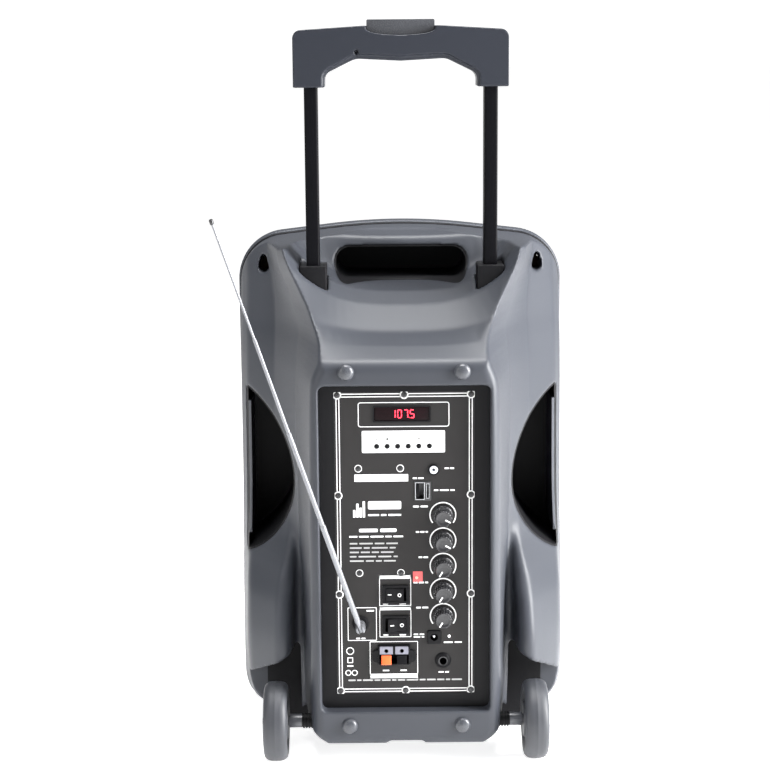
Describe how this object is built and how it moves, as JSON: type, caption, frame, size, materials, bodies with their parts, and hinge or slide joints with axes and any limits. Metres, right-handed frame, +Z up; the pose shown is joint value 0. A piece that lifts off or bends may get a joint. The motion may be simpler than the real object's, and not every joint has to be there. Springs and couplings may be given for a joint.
{
  "type": "party speaker",
  "caption": "Portable wheeled loudspeaker with telescopic handle, rear control panel with knobs and switches, and a swivelling telescopic aerial.",
  "frame": {"origin": "on the floor, in the middle of the bounding box", "axes": "+Z up, +Y out of the loudspeaker grille, controls face -Y, +X to the right as seen facing the controls"},
  "size_m": [0.3017, 0.295, 0.6275],
  "materials": {
    "case": "fine-textured grey moulded plastic",
    "liner": "matt black",
    "black_plastic": "satin black",
    "panel": "charcoal with white print",
    "grip": "satin grey",
    "button": "satin grey",
    "wheel": "grey rubber",
    "rubber": "soft rubber",
    "pole": "black coated tube",
    "steel": "plain steel",
    "chrome": "bright plated",
    "red": "orange red",
    "window": "dark tinted window",
    "board": "green circuit board",
    "wood": "fibreboard",
    "cone": "black paper cone",
    "lamp": "milky light ring",
    "grille": "black perforated sheet"
  },
  "bodies": {
    "cabinet": {"rear_cabinet": "case", "front_bezel": "case", "side_grip_liner_left": "liner", "side_grip_liner_right": "liner", "top_grip_liner": "liner", "front_grille": "grille", "baffle_board": "wood", "woofer_frame": "black_plastic", "tweeter": "black_plastic", "woofer_magnet": "steel", "woofer_cone": "cone", "light_ring": "lamp", "pole_guide_left": "black_plastic", "pole_guide_right": "black_plastic", "wheel_axle": "steel", "rear_bumper_1": "rubber", "rear_bumper_2": "rubber", "rear_bumper_3": "rubber", "rear_bumper_4": "rubber", "front_foot_left": "rubber", "front_foot_right": "rubber", "control_panel": "panel", "display_window": "window", "aux_jack": "black_plastic", "power_inlet": "black_plastic", "microphone_jack": "black_plastic", "speaker_terminal": "black_plastic", "switch_frame_upper": "black_plastic", "switch_frame_lower": "black_plastic", "aerial_socket": "black_plastic", "usb_card_reader": "steel", "battery_pack": "grip", "amplifier_board": "board"},
    "handle": {"handle_grip": "grip", "handle_pole_left": "pole", "handle_pole_right": "pole"},
    "lock": {"lock_button": "button"},
    "wheel_left": {"wheel_left": "wheel"},
    "wheel_right": {"wheel_right": "wheel"},
    "rocker_upper": {"switch_rocker_upper": "black_plastic"},
    "rocker_lower": {"switch_rocker_lower": "black_plastic"},
    "lever_red": {"terminal_lever_red": "red"},
    "lever_black": {"terminal_lever_black": "black_plastic"},
    "aerial_base": {"aerial_swivel": "chrome"},
    "knob_1": {"volume_knob_1": "black_plastic"},
    "knob_2": {"volume_knob_2": "black_plastic"},
    "knob_3": {"volume_knob_3": "black_plastic"},
    "knob_4": {"volume_knob_4": "black_plastic"},
    "knob_5": {"volume_knob_5": "black_plastic"},
    "key_1": {"menu_key_1": "black_plastic"},
    "key_2": {"menu_key_2": "black_plastic"},
    "key_3": {"menu_key_3": "black_plastic"},
    "key_4": {"menu_key_4": "black_plastic"},
    "key_5": {"menu_key_5": "black_plastic"},
    "key_6": {"menu_key_6": "black_plastic"},
    "aerial_1": {"aerial_section_1": "chrome"},
    "aerial_2": {"aerial_section_2": "chrome"},
    "aerial_3": {"aerial_section_3": "chrome"},
    "aerial_4": {"aerial_section_4": "chrome"}
  },
  "joints": [
    {"name": "handle_slide", "type": "slide", "parent": "cabinet", "child": "handle", "axis": [0, 0, 1], "range_m": [-0.138, 0]},
    {"name": "lock_press", "type": "slide", "parent": "handle", "child": "lock", "axis": [0, 0, -1], "range_m": [0, 0.004], "stiffness_N_per_m": 400},
    {"name": "wheel_left_spin", "type": "hinge", "parent": "cabinet", "child": "wheel_left", "pos_m": [0, -0.07, 0.034], "axis": [1, 0, 0], "continuous": true},
    {"name": "wheel_right_spin", "type": "hinge", "parent": "cabinet", "child": "wheel_right", "pos_m": [0, -0.07, 0.034], "axis": [1, 0, 0], "continuous": true},
    {"name": "knob_1_turn", "type": "hinge", "parent": "cabinet", "child": "knob_1", "pos_m": [0.032, -0.078, 0.218], "axis": [0, 1, 0], "range_deg": [-270, 30]},
    {"name": "knob_2_turn", "type": "hinge", "parent": "cabinet", "child": "knob_2", "pos_m": [0.032, -0.078, 0.1959], "axis": [0, 1, 0], "range_deg": [-270, 30]},
    {"name": "knob_3_turn", "type": "hinge", "parent": "cabinet", "child": "knob_3", "pos_m": [0.032, -0.078, 0.1738], "axis": [0, 1, 0], "range_deg": [0, 300]},
    {"name": "knob_4_turn", "type": "hinge", "parent": "cabinet", "child": "knob_4", "pos_m": [0.032, -0.078, 0.1517], "axis": [0, 1, 0], "range_deg": [0, 300]},
    {"name": "knob_5_turn", "type": "hinge", "parent": "cabinet", "child": "knob_5", "pos_m": [0.032, -0.078, 0.1296], "axis": [0, 1, 0], "range_deg": [0, 300]},
    {"name": "rocker_upper_tip", "type": "hinge", "parent": "cabinet", "child": "rocker_upper", "pos_m": [-0.0081, -0.074, 0.1493], "axis": [0, 0, 1], "range_deg": [0, 16]},
    {"name": "rocker_lower_tip", "type": "hinge", "parent": "cabinet", "child": "rocker_lower", "pos_m": [-0.0081, -0.074, 0.1224], "axis": [0, 0, 1], "range_deg": [-16, 0]},
    {"name": "key_1_press", "type": "slide", "parent": "cabinet", "child": "key_1", "axis": [0, 1, 0], "range_m": [0, 0.0008], "stiffness_N_per_m": 500},
    {"name": "key_2_press", "type": "slide", "parent": "cabinet", "child": "key_2", "axis": [0, 1, 0], "range_m": [0, 0.0008], "stiffness_N_per_m": 500},
    {"name": "key_3_press", "type": "slide", "parent": "cabinet", "child": "key_3", "axis": [0, 1, 0], "range_m": [0, 0.0008], "stiffness_N_per_m": 500},
    {"name": "key_4_press", "type": "slide", "parent": "cabinet", "child": "key_4", "axis": [0, 1, 0], "range_m": [0, 0.0008], "stiffness_N_per_m": 500},
    {"name": "key_5_press", "type": "slide", "parent": "cabinet", "child": "key_5", "axis": [0, 1, 0], "range_m": [0, 0.0008], "stiffness_N_per_m": 500},
    {"name": "key_6_press", "type": "slide", "parent": "cabinet", "child": "key_6", "axis": [0, 1, 0], "range_m": [0, 0.0008], "stiffness_N_per_m": 500},
    {"name": "lever_red_push", "type": "hinge", "parent": "cabinet", "child": "lever_red", "pos_m": [-0.0164, -0.075, 0.0948], "axis": [1, 0, 0], "range_deg": [0, 12], "stiffness_Nm_per_rad": 0.05},
    {"name": "lever_black_push", "type": "hinge", "parent": "cabinet", "child": "lever_black", "pos_m": [-0.0032, -0.075, 0.0948], "axis": [1, 0, 0], "range_deg": [0, 12], "stiffness_Nm_per_rad": 0.05},
    {"name": "aerial_swing", "type": "hinge", "parent": "cabinet", "child": "aerial_base", "pos_m": [-0.038, -0.0935, 0.1235], "axis": [0, 1, 0], "range_deg": [-80, 115]},
    {"name": "aerial_tilt", "type": "hinge", "parent": "aerial_base", "child": "aerial_1", "pos_m": [-0.038, -0.0935, 0.1235], "axis": [0.9521, 0, 0.3057], "range_deg": [-4, 72]},
    {"name": "aerial_draw_2", "type": "slide", "parent": "aerial_1", "child": "aerial_2", "axis": [-0.3027, -0.1392, 0.9429], "range_m": [-0.076, 0]},
    {"name": "aerial_draw_3", "type": "slide", "parent": "aerial_2", "child": "aerial_3", "axis": [-0.3027, -0.1392, 0.9429], "range_m": [-0.083, 0]},
    {"name": "aerial_draw_4", "type": "slide", "parent": "aerial_3", "child": "aerial_4", "axis": [-0.3027, -0.1392, 0.9429], "range_m": [-0.083, 0]}
  ]
}
